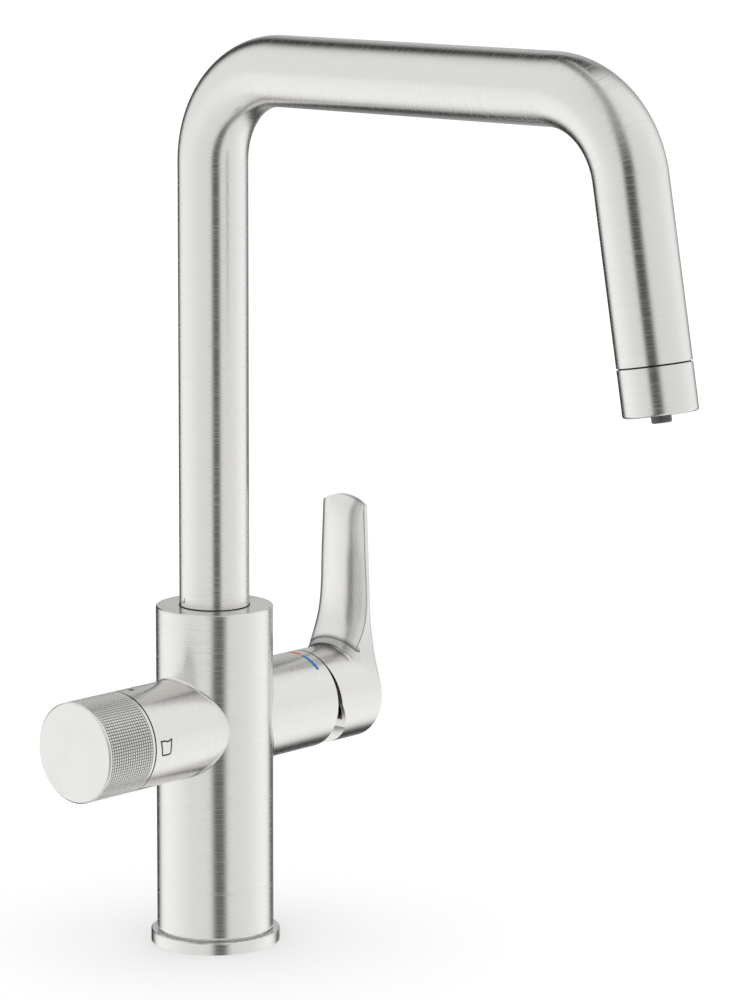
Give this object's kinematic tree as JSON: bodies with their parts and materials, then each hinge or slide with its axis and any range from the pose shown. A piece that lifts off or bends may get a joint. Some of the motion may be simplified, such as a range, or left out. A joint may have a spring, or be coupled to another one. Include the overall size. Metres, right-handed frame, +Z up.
{
  "type": "filtered water kitchen tap",
  "caption": "Deck kitchen tap in brushed steel: swivelling square-bend spout, side mixer lever and a knurled side knob for filtered water with its own outlet nozzle.",
  "frame": {"origin": "on the column axis at the underside of the foot, where the tap meets the worktop", "axes": "+Z up, spout towards -Y at rest, mixer lever towards +X, filter knob towards -X"},
  "size_m": [0.1577, 0.2643, 0.3673],
  "materials": {
    "brushed_steel": "fine circumferential brushing",
    "turned_brass": "turned",
    "steel_pins": "ground and machined",
    "black_rubber": "moulded, matt",
    "white_ceramic": "lapped",
    "white_acetal": "moulded",
    "grey_plastic": "moulded",
    "dark_plastic": "moulded"
  },
  "bodies": {
    "column": {"body_casting": "brushed_steel", "base_ring": "brushed_steel", "base_gasket": "black_rubber", "spout_stop_screw": "steel_pins", "filter_stem": "turned_brass", "stem_o_ring": "black_rubber", "filter_port_seal": "black_rubber", "filter_fixed_disc": "white_ceramic", "filter_valve_shell": "grey_plastic", "filter_nut": "turned_brass", "knob_glide_ring": "dark_plastic", "mixer_port_seal": "black_rubber", "mixer_valve_base": "grey_plastic", "mixer_fixed_disc": "white_ceramic", "mixer_valve_shell": "grey_plastic", "mixer_nut": "turned_brass", "mixer_cover_ring": "brushed_steel"},
    "spout": {"spout_tube": "brushed_steel", "spout_spigot": "turned_brass", "spout_glide_ring_low": "white_acetal", "spout_glide_ring_high": "white_acetal", "spout_o_ring": "black_rubber", "filtered_water_hose": "white_acetal", "outlet_housing": "brushed_steel", "outlet_o_ring": "black_rubber", "aerator_gasket": "black_rubber", "aerator_insert": "grey_plastic", "filtered_nozzle": "dark_plastic"},
    "filter_handle": {"filter_knob": "brushed_steel", "knob_insert": "white_acetal", "filter_spindle": "turned_brass", "filter_spindle_o_ring": "black_rubber", "filter_thrust_washer": "white_acetal", "filter_turning_disc": "white_ceramic"},
    "mixer_turret": {"mixer_rotor": "white_acetal", "lever_pivot_pin": "steel_pins"},
    "lever_arm": {"lever": "brushed_steel", "lever_pin": "steel_pins", "lever_set_screw": "steel_pins", "lever_plug": "grey_plastic"},
    "mixing_disc": {"mixer_moving_disc": "white_ceramic"}
  },
  "joints": [
    {"name": "spout_swivel", "type": "hinge", "parent": "column", "child": "spout", "pos_m": [0, 0, 0.12], "axis": [0, 0, 1], "range_deg": [-75, 75]},
    {"name": "filter_knob_turn", "type": "hinge", "parent": "column", "child": "filter_handle", "pos_m": [-0.066, 0, 0.0904], "axis": [1, 0, 0], "range_deg": [0, 90]},
    {"name": "lever_turn", "type": "hinge", "parent": "column", "child": "mixer_turret", "pos_m": [0.032, 0, 0.0904], "axis": [1, 0, 0], "range_deg": [-38, 62]},
    {"name": "lever_tilt", "type": "hinge", "parent": "mixer_turret", "child": "lever_arm", "pos_m": [0.032, 0, 0.0904], "axis": [0, 1, 0], "range_deg": [0, 25]},
    {"name": "mixing_disc_slide", "type": "slide", "parent": "mixer_turret", "child": "mixing_disc", "axis": [0, 0, 1], "range_m": [0, 0.00304]}
  ],
  "couplings": [
    {"joint": "mixing_disc_slide", "follows": "lever_tilt", "m_per_rad": 0.006732}
  ]
}
